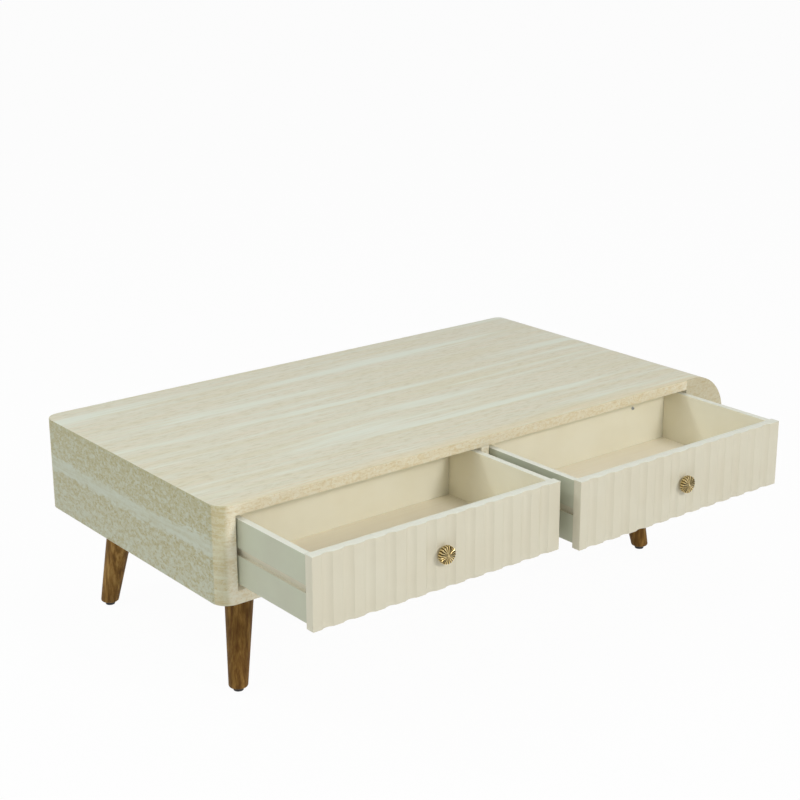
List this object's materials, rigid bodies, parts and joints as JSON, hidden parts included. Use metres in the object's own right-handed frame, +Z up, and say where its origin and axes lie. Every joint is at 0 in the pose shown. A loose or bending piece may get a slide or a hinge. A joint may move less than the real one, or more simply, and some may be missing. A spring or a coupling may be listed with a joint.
{
  "type": "coffee table",
  "caption": "Low coffee table with a rounded box case, a half-round end, fluted drawers with round knobs and splayed tapered legs.",
  "frame": {"origin": "on the floor, below the middle of the table's box with the drawers as pictured", "axes": "+X to the table's right along its length, +Y from the drawers to the back, +Z up"},
  "size_m": [1.2, 0.846, 0.373],
  "materials": {
    "stone_laminate": "stone-look laminate on board, satin",
    "cream_board": "cream laminate, matt",
    "cream_lacquer": "cream lacquer on board, satin",
    "plain_wood": "bare hardwood",
    "leg_wood": "stained and varnished",
    "brass": "polished gold plate",
    "steel": "zinc plate",
    "black_plastic": "matt"
  },
  "bodies": {
    "case": {"top_panel": "stone_laminate", "bottom_panel": "stone_laminate", "left_side_panel": "stone_laminate", "right_bulkhead": "stone_laminate", "end_cap_front": "stone_laminate", "end_cap_back": "stone_laminate", "end_curve_panel": "stone_laminate", "center_divider": "cream_board", "back_panel": "cream_board", "end_rib": "cream_board", "case_dowels": "plain_wood", "left_bay_runner_left": "plain_wood", "left_bay_runner_right": "plain_wood", "right_bay_runner_left": "plain_wood", "right_bay_runner_right": "plain_wood", "runner_screws": "steel", "plate_screws": "steel", "hanger_bolts": "steel", "front_left_leg": "leg_wood", "front_left_leg_plate": "steel", "front_left_foot_pad": "black_plastic", "front_right_leg": "leg_wood", "front_right_leg_plate": "steel", "front_right_foot_pad": "black_plastic", "back_left_leg": "leg_wood", "back_left_leg_plate": "steel", "back_left_foot_pad": "black_plastic", "back_right_leg": "leg_wood", "back_right_leg_plate": "steel", "back_right_foot_pad": "black_plastic"},
    "left_drawer": {"left_drawer_front": "cream_lacquer", "left_drawer_side_left": "cream_lacquer", "left_drawer_side_right": "cream_lacquer", "left_drawer_back": "cream_lacquer", "left_drawer_bottom": "cream_board", "left_drawer_knob": "brass", "left_drawer_knob_screw": "steel", "left_drawer_front_dowels": "plain_wood", "left_drawer_box_screws": "steel", "left_drawer_stop_screw": "steel"},
    "right_drawer": {"right_drawer_front": "cream_lacquer", "right_drawer_side_left": "cream_lacquer", "right_drawer_side_right": "cream_lacquer", "right_drawer_back": "cream_lacquer", "right_drawer_bottom": "cream_board", "right_drawer_knob": "brass", "right_drawer_knob_screw": "steel", "right_drawer_front_dowels": "plain_wood", "right_drawer_box_screws": "steel", "right_drawer_stop_screw": "steel"}
  },
  "joints": [
    {"name": "left_drawer_slide", "type": "slide", "parent": "case", "child": "left_drawer", "axis": [0, -1, 0], "range_m": [-0.205, 0.035]},
    {"name": "right_drawer_slide", "type": "slide", "parent": "case", "child": "right_drawer", "axis": [0, -1, 0], "range_m": [-0.232, 0.008]}
  ]
}
